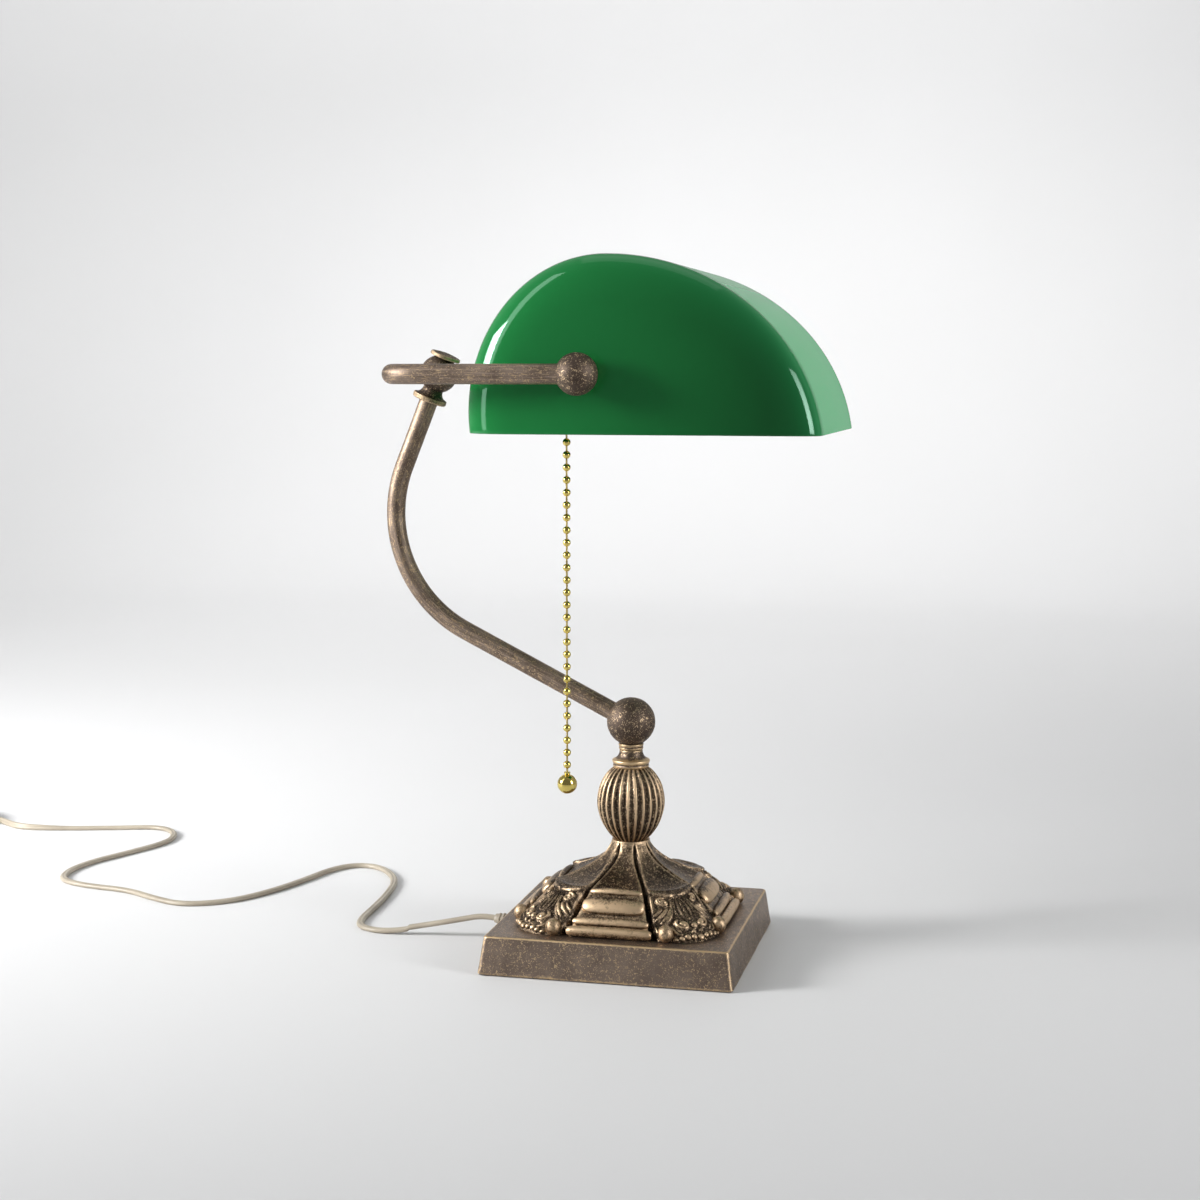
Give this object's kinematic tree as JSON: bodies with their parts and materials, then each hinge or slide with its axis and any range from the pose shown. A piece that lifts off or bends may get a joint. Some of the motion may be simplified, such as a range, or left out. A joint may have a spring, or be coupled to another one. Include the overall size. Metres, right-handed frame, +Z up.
{
  "type": "desk lamp",
  "caption": "Banker's desk lamp: square cast base, fluted stem, swivelling curved arm, tilting yoke and half-barrel glass shade, with a bead-chain switch and a mains cord.",
  "frame": {"origin": "centre of the felt-covered underside of the base", "axes": "+Z up; +X from the arm towards the shade's open side; Y along the shade's length"},
  "size_m": [0.7761, 0.3547, 0.4116],
  "materials": {
    "bronze": "antique",
    "brass": "polished",
    "steel": "satin",
    "iron": "rough",
    "felt": "matte",
    "green_glass": "gloss",
    "bulb_glass": "frosted",
    "rubber": "matte",
    "flex": "satin",
    "plug_plastic": "satin",
    "phenolic": "satin"
  },
  "bodies": {
    "base": {"base_plate": "bronze", "felt_pad": "felt", "bottom_cover": "steel", "cover_screws": "steel", "base_weight": "iron", "strain_relief": "rubber", "base_lead": "flex", "stem_rod": "steel", "stem_nut": "steel", "stem_washer": "steel", "pedestal": "bronze", "fluted_egg": "bronze", "neck_collar": "bronze", "swivel_cup": "bronze", "power_cord": "flex", "cord_coil": "flex", "coil_tie": "plug_plastic", "plug_tail": "flex", "plug_body": "plug_plastic", "plug_pins": "steel"},
    "arm": {"swivel_ball": "bronze", "arm_tube": "bronze", "arm_lead": "flex", "arm_nipple": "brass", "clamp_body": "bronze"},
    "lock_screw": {"lock_screw": "bronze"},
    "yoke": {"yoke_tube": "bronze", "yoke_ball_near": "bronze", "yoke_ball_far": "bronze", "near_nipple": "brass", "far_stud": "brass", "pivot_washers": "brass", "pivot_nuts": "brass", "yoke_lead": "flex", "socket_cap": "brass", "socket_shell": "brass", "socket_liner": "phenolic", "screw_shell": "brass", "switch_body": "phenolic", "centre_contact": "brass", "bell_mouth": "brass", "lever_pin": "brass", "bulb_base": "steel", "bulb_glass": "bulb_glass"},
    "shade": {"shade_glass": "green_glass", "pivot_grommets": "rubber"},
    "pull_stem": {"pull_stem": "brass"},
    "switch_lever": {"switch_lever": "brass"},
    "chain": {"chain_beads": "brass", "chain_links": "brass", "pull_knob": "brass"}
  },
  "joints": [
    {"name": "arm_swivel", "type": "hinge", "parent": "base", "child": "arm", "pos_m": [0, 0, 0.1393], "axis": [0, 0, 1], "range_deg": [-90, 90]},
    {"name": "yoke_tilt", "type": "hinge", "parent": "arm", "child": "yoke", "pos_m": [-0.1185, 0, 0.3459], "axis": [0, 1, 0], "range_deg": [-30, 45]},
    {"name": "lock_turn", "type": "hinge", "parent": "arm", "child": "lock_screw", "pos_m": [-0.1185, 0, 0.3459], "axis": [0.3746, 0, 0.9272], "range_deg": [0, 180]},
    {"name": "shade_tilt", "type": "hinge", "parent": "yoke", "child": "shade", "pos_m": [-0.0086, 0, 0.3459], "axis": [0, -1, 0], "range_deg": [-45, 40]},
    {"name": "chain_pull", "type": "slide", "parent": "yoke", "child": "pull_stem", "axis": [0, 0, -1], "range_m": [0, 0.008], "stiffness_N_per_m": 400, "springref_m": -0.004},
    {"name": "lever_turn", "type": "hinge", "parent": "yoke", "child": "switch_lever", "pos_m": [-0.0086, -0.066, 0.347], "axis": [0, -1, 0], "range_deg": [0, 31.5]},
    {"name": "chain_swing", "type": "hinge", "parent": "pull_stem", "child": "chain", "pos_m": [-0.0229, -0.066, 0.3221], "axis": [0, 1, 0], "range_deg": [-45, 30]}
  ],
  "couplings": [
    {"joint": "lever_turn", "follows": "chain_pull", "rad_per_m": 67.6},
    {"joint": "chain_swing", "follows": "yoke_tilt", "ratio": -1}
  ]
}
